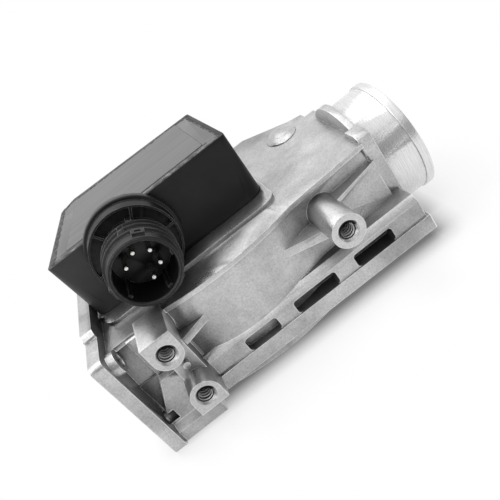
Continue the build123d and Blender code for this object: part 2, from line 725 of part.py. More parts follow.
def housing_bores():
    """Cutters for every bore in the casting."""
    cuts = [
        rod_z(PIVOT_X, PIVOT_Y, DUCT_TOP_Z - OVER, WHEEL_Z + OVER, BEARING_RADIUS),
        rod_z(PIVOT_X, PIVOT_Y, FLOOR_Z - OVER, DUCT_FLOOR_Z + OVER, BEARING_RADIUS),
        rod_z(PIVOT_X, PIVOT_Y, FLOOR_Z - OVER, FLOOR_Z + LOWER_PLUG_SEAT, LOWER_PLUG_RADIUS),
    ]
    flange_depth = FLANGE_THICKNESS + FLANGE_BOSS_HEIGHT
    for y, z in flange_hole_places():
        cuts.append(rod_x(y, z, -OVER, flange_depth + OVER, FLANGE_HOLE_RADIUS))
    bores = [(BOSS_1_X, BOSS_1_Z), (BOSS_1_X, BOSS_2_Z), (BOSS_3_X, BOSS_3_Z)]
    for (x, z), depth in zip(bores, THREAD_DEPTHS):
        cuts.append(threaded_bore(x, z, depth))
    for x, y in board_posts():
        cuts.append(rod_z(x, y, BOARD_Z - SCREW_BORE_DEPTH, BOARD_Z + OVER, SCREW_RADIUS))
    return cuts


def housing():
    body = Pos(0, 0, FLOOR_Z) * extrude(body_outline(0), TOP_Z - FLOOR_Z, dir=(0, 0, 1))
    lip = Pos(0, 0, TOP_Z - LIP_HEIGHT) * extrude(body_outline(-LIP), LIP_HEIGHT, dir=(0, 0, 1))
    body = body + lip + inlet_flange() + rail() + outlet() + front_bosses() + side_boss()
    body += cover_pad() + drafted_wall()
    body += Pos(BUMP_X, BUMP_Y, TOP_Z) * extrude(
        Ellipse(BUMP_LENGTH / 2, BUMP_WIDTH / 2), BUMP_HEIGHT, taper=BUMP_SLOPE
    )
    for tower in housing_towers():
        body += tower
    body -= duct()
    body -= bypass()
    for cut in housing_bores() + underside_pockets():
        body -= cut
    plug_clearance = PLUG_DISC_RADIUS + FOOT_CLEARANCE
    return body - rod_y(PLUG_X, PLUG_BASE_Z, PLUG_CUP_Y - OVER, COVER_FRONT_Y + OVER, plug_clearance)


def cover():
    shell = cover_body(0, COVER_FOOT_Z, COVER_TOP_Z)
    shell -= cover_body(COVER_WALL, COVER_FOOT_Z - OVER, COVER_TOP_Z + OVER)
    high = COVER_TOP_Z - PANEL_THICKNESS
    low = high - PANEL_LEDGE_HEIGHT
    ledge = lid_slab(COVER_WALL - PANEL_LEDGE_ROOT, low, high)
    ledge -= lid_slab(COVER_WALL + PANEL_LEDGE_WIDTH, low - OVER, high + OVER)
    shell += ledge
    return shell - rod_y(
        PLUG_X, PLUG_Z, COVER_FRONT_Y - OVER, COVER_FRONT_Y + COVER_WALL + OVER, spigot_radius()
    )


def lid_slot():
    """Cutter for the dark slot along the front edge of the lid."""
    start_x = COVER_FRONT_LEFT_X + SLOT_INSETS[0]
    end_x = COVER_FRONT_RIGHT_X - SLOT_INSETS[1]
    y = COVER_FRONT_Y + COVER_WALL + SEALANT_WIDTH
    slot = SlotOverall(end_x - start_x, SLOT_WIDTH)
    return Pos((start_x + end_x) / 2, y, COVER_TOP_Z - SLOT_DEPTH) * extrude(
        slot, SLOT_DEPTH + OVER, dir=(0, 0, 1)
    )


def cover_panel():
    panel = lid_slab(COVER_WALL + SEALANT_WIDTH, COVER_TOP_Z - PANEL_THICKNESS, COVER_TOP_Z)
    return panel - lid_slot()


def panel_sealant():
    low = COVER_TOP_Z - PANEL_THICKNESS
    ring = lid_slab(COVER_WALL, low, COVER_TOP_Z - SEALANT_SUNK)
    ring -= lid_slab(COVER_WALL + SEALANT_WIDTH, low - OVER, COVER_TOP_Z + OVER)
    return ring - lid_slot()


def spigot_radius():
    """Radius of the part of the plug that passes through the cover's wall."""
    return PLUG_SHELL_RADIUS - SPIGOT_STEP


def plug_profile():
    """Half section of the plug barrel, as (radius, y) corners from the rim backwards."""
    corners = [
        (PLUG_BORE_RADIUS, PLUG_RIM_Y + PLUG_RIM_CHAMFER),
        (PLUG_BORE_RADIUS + PLUG_RIM_CHAMFER, PLUG_RIM_Y),
        (PLUG_SHELL_RADIUS - PLUG_RIM_CHAMFER, PLUG_RIM_Y),
        (PLUG_SHELL_RADIUS, PLUG_RIM_Y + PLUG_RIM_CHAMFER),
    ]
    crest = PLUG_SHELL_RADIUS + PLUG_RIDGE_HEIGHT
    for y in reversed(PLUG_RIDGES):
        corners += [
            (PLUG_SHELL_RADIUS, y - PLUG_RIDGE_WIDTH / 2), (crest, y - PLUG_RIDGE_WIDTH / 4),
            (crest, y + PLUG_RIDGE_WIDTH / 4), (PLUG_SHELL_RADIUS, y + PLUG_RIDGE_WIDTH / 2),
        ]
    back_y = COVER_FRONT_Y + COVER_WALL
    neck = spigot_radius() - PRESS_CLEARANCE
    back_radius = PLUG_BORE_RADIUS - PLUG_BACK_STEP
    corners += [
        (PLUG_SHELL_RADIUS, COVER_FRONT_Y), (neck, COVER_FRONT_Y), (neck, back_y),
        (back_radius, back_y), (back_radius, PLUG_FLOOR_Y + PLUG_WEB),
        (0, PLUG_FLOOR_Y + PLUG_WEB), (0, PLUG_FLOOR_Y), (PLUG_BORE_RADIUS, PLUG_FLOOR_Y),
    ]
    return corners


def at_plug_angle(angle, piece):
    """Turns a piece about the axis of the plug; an angle of 90 points up."""
    return Pos(PLUG_X, 0, PLUG_Z) * Rot(0, -angle, 0) * piece


def plug_base():
    """Round base of the plug: a disc, and before it a shallow cup with ribs."""
    disc = rod_y(PLUG_X, PLUG_BASE_Z, COVER_FRONT_Y - PLUG_DISC_THICKNESS, COVER_FRONT_Y, PLUG_DISC_RADIUS)
    disc = fillet(disc.edges().filter_by(GeomType.CIRCLE).group_by(Axis.Y)[0], PLUG_DISC_ROUNDING)
    cup = rod_y(PLUG_X, PLUG_BASE_Z, PLUG_CUP_Y, COVER_FRONT_Y, PLUG_CUP_RADIUS)
    floor_y = PLUG_CUP_Y + PLUG_CUP_DEPTH
    hollow = rod_y(PLUG_X, PLUG_BASE_Z, PLUG_CUP_Y - OVER, floor_y, PLUG_CUP_RADIUS - PLUG_CUP_RIM)
    half = PLUG_RIB_THICKNESS / 2
    for index in range(PLUG_RIB_COUNT):
        rib = block(0, PLUG_DISC_RADIUS, PLUG_CUP_Y, floor_y + OVER, -half, half)
        hollow -= Pos(PLUG_X, 0, PLUG_BASE_Z) * Rot(0, -360 / PLUG_RIB_COUNT * index, 0) * rib
    return disc + cup - hollow


def lug(height, y0, y1, width):
    """Block on the barrel of the plug, before it is turned to its place."""
    low = PLUG_SHELL_RADIUS - LUG_ROOT
    return block(low, PLUG_SHELL_RADIUS + height, y0, y1, -width / 2, width / 2)


def plug_lugs():
    """Locking lugs between the ridges, three times round the barrel."""
    first, second, third = PLUG_RIDGES
    window_y = third - LOOP_SETBACK
    loop = lug(LOOP_HEIGHT, third - LOOP_LENGTH, third, LOOP_WIDTH)
    loop -= lug(LOOP_HEIGHT + OVER, window_y - LOOP_WINDOW_LENGTH, window_y, LOOP_WINDOW_WIDTH)
    wedge = lug(WEDGE_HEIGHT, first, PLUG_CUP_Y, WEDGE_WIDTH)
    step = lug(STEP_HEIGHT, third, second, STEP_WIDTH) + lug(STEP_HEIGHT, second, first, STEP_WIDTH)
    lugs = []
    for turn in LUG_TURNS:
        lugs.append(at_plug_angle(WEDGE_ANGLE + turn, wedge))
        lugs.append(at_plug_angle(STEP_ANGLE + turn, step))
        lugs.append(at_plug_angle(LOOP_ANGLE + turn, loop))
    return lugs


def plug_shell():
    section = Plane(origin=(PLUG_X, 0, PLUG_Z), x_dir=(1, 0, 0), z_dir=(0, 0, 1)) * make_face(
        Polyline(*plug_profile(), close=True)
    )
    shell = revolve(section, Axis((PLUG_X, 0, PLUG_Z), (0, 1, 0)))
    core_radius = (PLUG_SHELL_RADIUS + spigot_radius()) / 2
    core = rod_y(PLUG_X, PLUG_Z, PLUG_CUP_Y - 2 * OVER, COVER_FRONT_Y + OVER, core_radius)
    shell += plug_base() - core
    for piece in plug_lugs():
        shell += piece
    for angle in KEY_ANGLES:
        key = block(
            PLUG_BORE_RADIUS - KEY_HEIGHT, core_radius - OVER / 2,
            PLUG_RIM_Y + KEY_SETBACK, PLUG_FLOOR_Y, -KEY_WIDTH / 2, KEY_WIDTH / 2,
        )
        shell += at_plug_angle(angle, key)
    for x, z in pin_places():
        shell -= rod_y(x, z, PLUG_FLOOR_Y - OVER, PLUG_FLOOR_Y + PLUG_WEB + OVER, PIN_RADIUS)
    return shell


def pin_places():
    """Centres of the pins as seen from the front."""
    places = []
    for angle in PIN_ANGLES:
        turn = math.radians(angle)
        places.append(
            (PLUG_X + PIN_CIRCLE_RADIUS * math.cos(turn), PLUG_Z + PIN_CIRCLE_RADIUS * math.sin(turn))
        )
    return places


def plug_pins():
    pins = []
    for x, z in pin_places():
        pin = rod_y(x, z, PIN_TIP_Y, PIN_TAIL_Y, PIN_RADIUS)
        tip = pin.edges().filter_by(GeomType.CIRCLE).group_by(Axis.Y)[0]
        pins.append(fillet(tip, PIN_TIP_ROUNDING))
    return Compound(children=pins)


def shaft():
    rod = rod_z(PIVOT_X, PIVOT_Y, SHAFT_FOOT_Z, SHAFT_TOP_Z, SHAFT_RADIUS)
    return chamfer(rod.edges().filter_by(GeomType.CIRCLE), SHAFT_CHAMFER)


def flap():
    low = DUCT_FLOOR_Z + FLAP_CLEARANCE
    high = DUCT_TOP_Z - FLAP_CLEARANCE
    half = FLAP_THICKNESS / 2
    hub = rod_z(PIVOT_X, PIVOT_Y, low, high, FLAP_HUB_RADIUS)
    blade = block(PIVOT_X - half, PIVOT_X + half, PIVOT_Y - FLAP_REACH, PIVOT_Y, low, high)
    damper = block(PIVOT_X, PIVOT_X + DAMPER_REACH, PIVOT_Y - half, PIVOT_Y + half, low, high)
    body = hub + blade + damper
    rib_half = FLAP_RIB_THICKNESS / 2
    for z in (low + FLAP_RIB_INSET, (low + high) / 2, high - FLAP_RIB_INSET):
        body += prism_z(
            [(PIVOT_X, PIVOT_Y - FLAP_RIB_ON_BLADE), (PIVOT_X, PIVOT_Y),
             (PIVOT_X + FLAP_RIB_ON_DAMPER, PIVOT_Y)],
            z - rib_half, z + rib_half,
        )
    return body - rod_z(PIVOT_X, PIVOT_Y, low - OVER, high + OVER, SHAFT_RADIUS)


def bearing(z0):
    z1 = z0 + BEARING_HEIGHT
    bush = rod_z(PIVOT_X, PIVOT_Y, z0, z1, BEARING_RADIUS)
    return bush - rod_z(PIVOT_X, PIVOT_Y, z0 - OVER, z1 + OVER, SHAFT_RADIUS + SHAFT_RUN_CLEARANCE)


def lower_bearing():
    return bearing(DUCT_FLOOR_Z - BEARING_HEIGHT)


def upper_bearing():
    return bearing(BEARING_TOP_Z - BEARING_HEIGHT)


def lower_plug():
    return rod_z(
        PIVOT_X, PIVOT_Y, FLOOR_Z + LOWER_PLUG_SUNK, FLOOR_Z + LOWER_PLUG_SEAT, LOWER_PLUG_RADIUS
    )


def tension_wheel():
    top = WHEEL_Z + WHEEL_HEIGHT
    wheel = rod_z(PIVOT_X, PIVOT_Y, WHEEL_Z, top, WHEEL_RADIUS)
    wheel -= rod_z(PIVOT_X, PIVOT_Y, WHEEL_Z + WHEEL_WEB, top + OVER, WHEEL_RADIUS - WHEEL_RIM)
    for index in range(WHEEL_TEETH):
        turn = math.radians(360 / WHEEL_TEETH * index)
        wheel -= rod_z(
            PIVOT_X + WHEEL_RADIUS * math.cos(turn), PIVOT_Y + WHEEL_RADIUS * math.sin(turn),
            WHEEL_Z - OVER, top + OVER, WHEEL_TOOTH_RADIUS,
        )
    bore = SHAFT_RADIUS + WHEEL_BORE_CLEARANCE
    return wheel - rod_z(PIVOT_X, PIVOT_Y, WHEEL_Z - OVER, WHEEL_Z + WHEEL_WEB + OVER, bore)


def return_spring():
    """Flat spiral spring between the shaft collet and the wheel."""
    steps = SPRING_TURNS * SPRING_POINTS_PER_TURN
    outline = []
    for side in (0, SPRING_THICKNESS):
        row = []
        for index in range(steps + 1):
            share = index / steps
            radius = SPRING_INNER_RADIUS + (SPRING_OUTER_RADIUS - SPRING_INNER_RADIUS) * share + side
            turn = 2 * math.pi * SPRING_TURNS * share
            row.append((PIVOT_X + radius * math.cos(turn), PIVOT_Y + radius * math.sin(turn)))
        outline.append(row)
    edges = [
        Spline(*outline[0]), Line(outline[0][-1], outline[1][-1]),
        Spline(*reversed(outline[1])), Line(outline[1][0], outline[0][0]),
    ]
    return Pos(0, 0, WHEEL_Z + SPRING_LIFT) * extrude(make_face(edges), SPRING_HEIGHT, dir=(0, 0, 1))


def spring_collet():
    low = WHEEL_Z + COLLET_LIFT
    high = low + COLLET_HEIGHT
    collet = rod_z(PIVOT_X, PIVOT_Y, low, high, COLLET_RADIUS)
    return collet - rod_z(PIVOT_X, PIVOT_Y, low - OVER, high + OVER, SHAFT_RADIUS)


def wheel_clip():
    """Spring clip that holds the toothed wheel in its setting."""
    x = PIVOT_X + WHEEL_RADIUS + CLIP_GAP
    leaf_end = CLIP_LEAF_Y + CLIP_LEAF_LENGTH
    foot_y = leaf_end - CLIP_FOOT_WIDTH
    pad_z = TOP_Z + PAD_HEIGHT
    top = WHEEL_Z + CLIP_HEIGHT
    leaf = block(x, x + CLIP_THICKNESS, CLIP_LEAF_Y, leaf_end, WHEEL_Z, top)
    foot = block(x, x + CLIP_FOOT_LENGTH, foot_y, leaf_end, pad_z, pad_z + CLIP_FOOT_THICKNESS)
    riser = block(x, x + CLIP_THICKNESS, foot_y, leaf_end, pad_z, top)
    return leaf + foot + riser


def track_board():
    board = block(BOARD_X[0], BOARD_X[1], BOARD_Y[0], BOARD_Y[1], BOARD_Z, BOARD_Z + BOARD_THICKNESS)
    for x, y in board_posts():
        board -= rod_z(x, y, BOARD_Z - OVER, BOARD_Z + BOARD_THICKNESS + OVER, BOARD_HOLE_RADIUS)
    return board


def board_screws():
    screws = []
    top = BOARD_Z + BOARD_THICKNESS
    head_top = top + SCREW_HEAD_HEIGHT
    half = SCREW_SLOT_WIDTH / 2
    reach = SCREW_HEAD_RADIUS + OVER
    for x, y in board_posts():
        screw = rod_z(x, y, top, head_top, SCREW_HEAD_RADIUS)
        screw += rod_z(x, y, BOARD_Z - SCREW_LENGTH, top, SCREW_RADIUS)
        slot = block(x - reach, x + reach, y - half, y + half, (top + head_top) / 2, head_top + OVER)
        screws.append(screw - slot)
    return Compound(children=screws)


def at_wiper_angle(piece):
    """Puts a piece of the wiper, made along X, at its place of rest on the shaft."""
    return Pos(PIVOT_X, PIVOT_Y, 0) * Rot(0, 0, WIPER_REST_ANGLE) * piece


def wiper_arm():
    low = WIPER_Z - WIPER_HUB_BELOW
    high = WIPER_Z + WIPER_HUB_ABOVE
    top = WIPER_Z + WIPER_THICKNESS
    arm = block(0, WIPER_RADIUS + OVER, -WIPER_ARM_WIDTH / 2, WIPER_ARM_WIDTH / 2, WIPER_Z, top)
    tail = block(-WIPER_TAIL_LENGTH, 0, -WIPER_TAIL_WIDTH / 2, WIPER_TAIL_WIDTH / 2, WIPER_Z, top)
    body = rod_z(PIVOT_X, PIVOT_Y, low, high, WIPER_HUB_RADIUS) + at_wiper_angle(arm + tail)
    return body - rod_z(PIVOT_X, PIVOT_Y, low - OVER, high + OVER, SHAFT_RADIUS)


def wiper_fingers():
    low = BOARD_Z + BOARD_THICKNESS + FINGER_GAP
    fingers = []
    for radius in FINGER_RADII:
        finger = block(
            radius - FINGER_WIDTH / 2, radius + FINGER_WIDTH / 2, -FINGER_LENGTH / 2, FINGER_LENGTH / 2,
            low, WIPER_Z,
        )
        fingers.append(at_wiper_angle(finger))
    return Compound(children=fingers)


def counterweight():
    low = WIPER_Z + WIPER_THICKNESS
    weight = rod_z(-WIPER_HUB_RADIUS - WEIGHT_OFFSET, 0, low, low + WEIGHT_HEIGHT, WEIGHT_RADIUS)
    return at_wiper_angle(weight)


def retaining_ring():
    low = RING_Z - OVER
    high = RING_Z + RING_THICKNESS + OVER
    ring = rod_z(PIVOT_X, PIVOT_Y, RING_Z, RING_Z + RING_THICKNESS, RING_RADIUS)
    ring -= rod_z(PIVOT_X, PIVOT_Y, low, high, SHAFT_RADIUS)
    half = RING_GAP / 2
    return ring - block(PIVOT_X - half, PIVOT_X + half, PIVOT_Y - RING_RADIUS - OVER, PIVOT_Y, low, high)


def terminal_strip():
    """Moulded strip that carries the leads from the pins to the track board."""
    top = STRIP_Z + STRIP_THICKNESS
    half = STRIP_HEAD_WIDTH / 2
    strip = block(*STRIP_X, *STRIP_Y, STRIP_Z, top)
    strip += block(PLUG_X - half, PLUG_X + half, *STRIP_HEAD_Y, STRIP_Z, STRIP_Z + STRIP_HEAD_HEIGHT)
    strip += block(*STRIP_FOOT_X, *STRIP_FOOT_Y, BOARD_Z + BOARD_THICKNESS, top)
    for x, z in pin_places():
        strip -= rod_y(
            x, z, PIN_TAIL_Y - STRIP_SOCKET_DEPTH, PIN_TAIL_Y, PIN_RADIUS + PRESS_CLEARANCE
        )
    return strip


def air_sensor():
    """Intake air temperature sensor in the mouth of the duct."""
    holder_z = DUCT_TOP_Z - SENSOR_HOLDER_LENGTH
    holder = rod_z(SENSOR_X, SENSOR_Y, holder_z, DUCT_TOP_Z, SENSOR_HOLDER_RADIUS)
    return holder + rod_z(SENSOR_X, SENSOR_Y, DUCT_TOP_Z - SENSOR_LENGTH, holder_z, SENSOR_BEAD_RADIUS)


NODES = [
    housing, cover, cover_panel, panel_sealant, plug_shell, plug_pins, shaft, flap, lower_bearing,
    upper_bearing, lower_plug, tension_wheel, return_spring, spring_collet, wheel_clip, track_board,
    board_screws, wiper_arm, wiper_fingers, counterweight, retaining_ring, terminal_strip, air_sensor,
]

os.makedirs("parts", exist_ok=True)
for make in NODES:
    export_step(make(), f"parts/{make.__name__}.step")
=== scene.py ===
import math

import bmesh
import bpy
from mathutils import Matrix, Vector, noise


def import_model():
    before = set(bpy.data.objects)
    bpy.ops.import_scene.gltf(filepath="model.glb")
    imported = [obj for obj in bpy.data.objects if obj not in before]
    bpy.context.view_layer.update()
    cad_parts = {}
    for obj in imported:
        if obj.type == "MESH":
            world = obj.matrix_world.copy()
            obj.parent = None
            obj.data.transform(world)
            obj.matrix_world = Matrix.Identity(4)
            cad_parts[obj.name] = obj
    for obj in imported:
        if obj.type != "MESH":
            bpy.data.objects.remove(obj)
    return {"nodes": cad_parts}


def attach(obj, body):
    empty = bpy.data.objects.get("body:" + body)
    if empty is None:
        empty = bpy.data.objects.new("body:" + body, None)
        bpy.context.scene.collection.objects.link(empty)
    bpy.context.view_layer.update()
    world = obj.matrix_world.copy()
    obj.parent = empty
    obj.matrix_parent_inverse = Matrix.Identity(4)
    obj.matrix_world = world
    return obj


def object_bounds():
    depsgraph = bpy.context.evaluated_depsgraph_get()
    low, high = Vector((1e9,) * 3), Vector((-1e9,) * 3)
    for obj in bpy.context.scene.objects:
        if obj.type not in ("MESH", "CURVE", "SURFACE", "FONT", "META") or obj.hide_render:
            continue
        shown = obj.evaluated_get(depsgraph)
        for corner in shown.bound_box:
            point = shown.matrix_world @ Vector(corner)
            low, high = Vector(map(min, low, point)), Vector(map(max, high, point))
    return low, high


# Looks of a vane air flow meter: bright die cast alloy, a black moulded cover with a grey lid, and a
# round black plug with five pins. A value multiplied by MM is in metres. The pieces made here are
# drawn in millimetres, in the frame of the model, and mesh_piece turns them into metres.

MM = 0.001

# Camera, placed to match the photograph
CAMERA_PLACE = Vector((79.2, -257.9, 132.8)) * MM
CAMERA_AIM = Vector((78.1, 7.9, -6.4)) * MM
CAMERA_ROLL = math.radians(-38.1)
CAMERA_NEAREST = 10 * MM
CAMERA_FARTHEST = 20000 * MM
FOCAL_PIXELS = 600.0
PICTURE_PIXELS = 500.0
SENSOR_WIDTH = 36.0

# Lamps: name, place in metres, width and height in metres, watts, and whether reflections show it
LAMPS = [
    ("key_light", (-0.05, 0.14, 1.0), (1.5, 1.3), 6.0, True),
    ("edge_light", (-0.26, 0.26, 0.9), (0.25, 0.25), 3.2, False),
    ("left_light", (-0.60, -0.30, 0.45), (0.6, 0.6), 1.7, True),
]
LAMP_AIM = (0.08, 0.0, 0.0)

# Surround: the level of its light, and where reflections of it get darker, low and in front
SURROUND_COLOUR = (1.0, 1.0, 1.0, 1.0)
SURROUND_LEVEL = 0.38
FRONT_LEVEL = 0.35
FRONT_FROM_Y = 0.1
FRONT_TO_Y = -0.3
LOW_FROM_Z = 0.66
LOW_TO_Z = 0.46

# Ground: it turns white within a short way of a box that holds the part's footprint, and has painted
# contact shadow right under the part
FLOOR_SIZE = 3000 * MM
SHADOW_MIDDLE = Vector((80.0, -1.0, 0.0)) * MM
SHADOW_HALF = Vector((70.0, 40.0, 0.0)) * MM
WHITE_BY = 60 * MM
FLOOR_GLOW = 0.13
MIRRORED_WHITE = 0.8
CONTACT_SHADOW_REACH = 14 * MM

# Where the casting is turned or milled, and how strongly that shows on the milled faces
TUBE_START_X = 148.05 * MM
BOSS_FACE_Y = -60.4 * MM
INLET_FACE_X = 0.05 * MM
BOSS_FACE_SHARE = 0.15
INLET_FACE_SHARE = 0.4

# How far painted shade in hollows, seams and the lid's slot, and rubbed edges with painted highlights,
# reach
HOLLOW_SHADE_REACH = 14 * MM
SEAM_SHADE_REACH = 1.2 * MM
SLOT_SHADE_REACH = 2.5 * MM
ALLOY_RUB_AND_HIGHLIGHT = 0.8 * MM
PLASTIC_RUB_AND_HIGHLIGHT = 0.35 * MM

# Where the lighter film on the cover ends: dust, and painted sheen
DUST_AND_SHEEN_TO_X = 62.0 * MM

# Colours of what lies on or shows through the surfaces; the rubbed and worn greys also carry painted
# highlights, and the dust grey painted sheen
STREAK_GREY = (0.62, 0.62, 0.61)
PIT_GREY = (0.10, 0.10, 0.10)
RUBBED_AND_HIGHLIT_ALLOY = (0.98, 0.98, 0.97)
SPECK_GREY = (0.3, 0.3, 0.3)
DUST_AND_SHEEN_GREY = (0.075, 0.075, 0.078)
RUBBED_AND_HIGHLIT_PLASTIC = (0.22, 0.22, 0.22)
WORN_AND_HIGHLIT_RIDGE = (0.30, 0.30, 0.30)
SCUFF_GREY = (0.23, 0.23, 0.23)
LABEL_STREAK = (0.17, 0.17, 0.17)
WORKED_ROUGHNESS = (0.25, 0.25, 0.25)

# Rounding of the carried pieces
EDGE_WIDTHS = {"housing": 0.5 * MM, "cover": 0.4 * MM, "plug_shell": 0.2 * MM, "cover_panel": 0.15 * MM}
EDGE_SEGMENTS = 2
SHARP_ANGLE = math.radians(32)
WELD_REACH = 0.002 * MM

# Threads in the three bosses; each bore is given by its x and z, and the two shares are of the pitch
BORES = [(28.5, 15.5), (28.5, -10.5), (113.1, 9.2)]
BORE_RADIUS = 3.4
THREAD_START_Y = -59.9
THREAD_PITCH = 1.75
THREAD_DEPTH = 0.75
THREAD_TURNS = 9
THREAD_STEPS = 36
THREAD_ROOT = 0.08
THREAD_FOOT_SHARE = 0.48
THREAD_CREST_SHARE = 0.14

# The lid's top, and how deep the pieces that lie on it reach into it
LID_TOP_Z = 56.0
LID_SINK = 0.1

# Bare label plate on the lid; its black rim is painted shadow of the gap round it
LABEL_CORNERS = [(15.5, -7.9), (90.0, -7.9), (87.2, 47.5), (22.6, 50.5)]
LABEL_MIDDLE = Vector((55.0, 20.0))
LABEL_CORNER_RADIUS = 1.2
LABEL_THICKNESS = 0.18
LABEL_BEVEL = 0.25
LABEL_BEVEL_FROM = 0.55

# Paste squeezed out along the gap between the lid and the cover. The widths are for its five sides.
# Lumps and waves, here and on the strip, are pairs of fineness and height.
GAP_CORNERS = [(97.4, -12.5), (93.3, 48.3), (21.9, 54.2), (14.7, 48.6), (8.0, -12.5)]
GAP_CORNER_RADIUS = 1.0
GAP_CORNER_STEPS = 3
PASTE_STEP = 0.4
PASTE_AROUND = 8
PASTE_RADIUS = 0.5
PASTE_WIDTHS = [1.2, 7.0, 3.5, 3.6, 1.0]
PASTE_OUTER_REACH = 1.6
PASTE_SINK = 0.22
PASTE_FLATNESS = 0.75
PASTE_NOISE_REACH = 7.0
PASTE_LUMPS = [(0.9, 0.45), (0.25, 0.35)]
PASTE_WAVE = (0.5, 0.18)

# Dusty strip of paste along the lid's front edge; a row is its share of the width and of the height
STRIP_ENDS = (9.5, 96.6)
STRIP_FRONT_Y = -13.35
STRIP_BACK_Y = -9.5
STRIP_HEIGHT = 0.36
STRIP_ROWS = [
    (0.0, -0.4), (0.06, 0.6), (0.25, 0.9), (0.45, 1.0),
    (0.65, 0.8), (0.85, 0.5), (0.97, 0.35), (1.0, -0.4),
]
STRIP_END_HEIGHT = 0.15
STRIP_END_RISE = 12.0
STRIP_FRONT_WAVE = (0.7, 0.15)
STRIP_BACK_WAVE = (0.5, 0.3)
STRIP_LUMP_FINENESS = (1.1, 1.6)
STRIP_LUMP_HEIGHT = 0.8
STRIP_ROWS_APART = 2.0

# Dark slot between that strip and the label; its floor is a black sheet of painted shadow
SLOT_ENDS = (12.5, 92.0)
SLOT_SIDES = (-10.0, -7.9)
SLOT_CORNER_RADIUS = 0.4
SLOT_SHADOW_LIFT = 0.05

# Smooth dome on the top plate, over the plain raised oval of the casting
DOME_CENTRE = (126.6, 31.9)
DOME_SIZE = (17.0, 22.0)
DOME_BASE_Z = 21.9
DOME_HEIGHT = 3.7
DOME_FULLNESS = 0.85
DOME_RINGS = 14
DOME_STEPS = 48

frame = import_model()
cad_low, cad_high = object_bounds()
nodes = frame["nodes"]
FLOOR_Z = cad_low.z


class Nodes:
    """Small helper that adds and wires the nodes of one tree."""

    def __init__(self, tree, place):
        self.tree = tree
        self.place = self.add("ShaderNodeTexCoord").outputs[place]

    def add(self, kind, sockets=None, **settings):
        """Adds a node. Each socket gets a plain value, or a wire from another node."""
        node = self.tree.nodes.new(kind)
        for key, value in settings.items():
            setattr(node, key, value)
        for key, value in (sockets or {}).items():
            if isinstance(value, bpy.types.NodeSocket):
                self.join(value, node.inputs[key])
            else:
                node.inputs[key].default_value = value
        return node

    def join(self, start, end):
        self.tree.links.new(start, end)

    def work_out(self, operation, first, second):
        node = self.add("ShaderNodeMath", {0: first, 1: second}, operation=operation)
        return node.outputs["Value"]

    def weaken(self, source, share):
        return self.work_out("MULTIPLY", source, share)

    def work_out_vector(self, operation, *values):
        return self.add("ShaderNodeVectorMath", dict(enumerate(values)), operation=operation)

    def coordinate(self, axis):
        return self.add("ShaderNodeSeparateXYZ", {0: self.place}).outputs[axis]

    def smooth_rise(self, source, start, end):
        """Zero at the start, one at the end, and smooth between them."""
        node = self.add(
            "ShaderNodeMapRange",
            {"Value": source, "From Min": start, "From Max": end},
            interpolation_type="SMOOTHSTEP",
        )
        return node.outputs["Result"]

    def rays(self, *kinds):
        """One for rays of the given kinds, zero for all others."""
        path = self.add("ShaderNodeLightPath")
        found = path.outputs[kinds[0]]
        for kind in kinds[1:]:
            found = self.work_out("MAXIMUM", found, path.outputs[kind])
        return found


